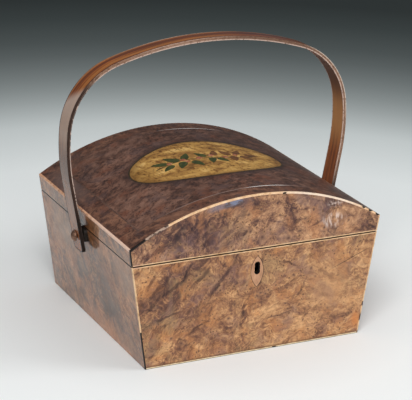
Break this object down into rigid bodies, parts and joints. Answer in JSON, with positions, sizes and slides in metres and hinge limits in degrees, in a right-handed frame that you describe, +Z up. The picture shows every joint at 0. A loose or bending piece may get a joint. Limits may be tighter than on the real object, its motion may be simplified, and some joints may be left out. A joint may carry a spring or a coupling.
{
  "type": "sewing box",
  "caption": "Burr-veneered wooden sewing box with leaning ends, a vaulted hinged lid, a key lock, a lift-out tray and a bent swing handle.",
  "frame": {"origin": "middle of the underside, on the surface the box stands on", "axes": "+Z up; the front with the keyhole faces -Y; +X is to the right of someone facing the front"},
  "size_m": [0.2748, 0.2136, 0.2575],
  "materials": {
    "burr_veneer": "polished burr veneer",
    "top_veneer": "polished dark burr veneer",
    "carcase_wood": "planed wood",
    "light_stringing": "polished light wood",
    "dark_line": "polished dark wood",
    "painted_panel": "painted and varnished",
    "escutcheon_wood": "polished light wood",
    "handle_wood": "polished bent wood",
    "handle_edging_wood": "worn light wood",
    "tray_wood": "planed wood",
    "lining_paper": "aged lining paper",
    "black_iron": "blackened",
    "pivot_brass": "tarnished",
    "hardware_brass": "dull"
  },
  "bodies": {
    "case": {"bottom_board": "carcase_wood", "front_board": "carcase_wood", "back_board": "carcase_wood", "left_end_board": "carcase_wood", "right_end_board": "carcase_wood", "front_veneer": "burr_veneer", "back_veneer": "burr_veneer", "left_end_veneer": "burr_veneer", "right_end_veneer": "burr_veneer", "corner_stringing": "light_stringing", "base_stringing": "light_stringing", "rim_stringing": "light_stringing", "keyhole_escutcheon": "escutcheon_wood", "lock_case": "hardware_brass", "lock_selvedge": "hardware_brass", "lock_screws": "hardware_brass", "hinge_leaves_case": "hardware_brass", "hinge_pins": "hardware_brass", "hinge_screws_case": "hardware_brass", "handle_blocks": "black_iron", "handle_pivots": "pivot_brass", "pivot_washers": "pivot_brass", "case_lining": "lining_paper", "tray_bearers": "tray_wood"},
    "lock_bolt": {"lock_bolt": "hardware_brass"},
    "lid": {"lid_front_board": "carcase_wood", "lid_back_board": "carcase_wood", "lid_left_end_board": "carcase_wood", "lid_right_end_board": "carcase_wood", "lid_top_board": "carcase_wood", "lid_front_veneer": "burr_veneer", "lid_back_veneer": "burr_veneer", "lid_left_end_veneer": "burr_veneer", "lid_right_end_veneer": "burr_veneer", "lid_top_veneer": "top_veneer", "lid_crossband": "top_veneer", "crossband_line": "light_stringing", "oval_panel": "painted_panel", "oval_line": "dark_line", "arch_stringing": "light_stringing", "lid_end_stringing": "light_stringing", "lid_rim_stringing": "light_stringing", "lid_corner_stringing": "light_stringing", "link_plate": "hardware_brass", "link_plate_screws": "hardware_brass", "hinge_leaves_lid": "hardware_brass", "hinge_screws_lid": "hardware_brass", "lid_lining": "lining_paper"},
    "handle": {"handle_bow": "handle_wood", "handle_edging": "handle_edging_wood"},
    "tray": {"tray_bottom": "tray_wood", "tray_long_walls": "tray_wood", "tray_end_walls": "tray_wood", "tray_long_dividers": "tray_wood", "tray_cross_dividers": "tray_wood"}
  },
  "joints": [
    {"name": "lid_hinge", "type": "hinge", "parent": "case", "child": "lid", "pos_m": [0, 0.106, 0.0954], "axis": [-1, 0, 0], "range_deg": [0, 37]},
    {"name": "handle_swing", "type": "hinge", "parent": "case", "child": "handle", "pos_m": [0, 0, 0.088], "axis": [1, 0, 0], "range_deg": [-110, 110]},
    {"name": "lock_bolt_throw", "type": "slide", "parent": "case", "child": "lock_bolt", "axis": [1, 0, 0], "range_m": [0, 0.0045]},
    {"name": "tray_lift", "type": "slide", "parent": "case", "child": "tray", "axis": [0, 0, 1], "range_m": [0, 0.015]}
  ]
}
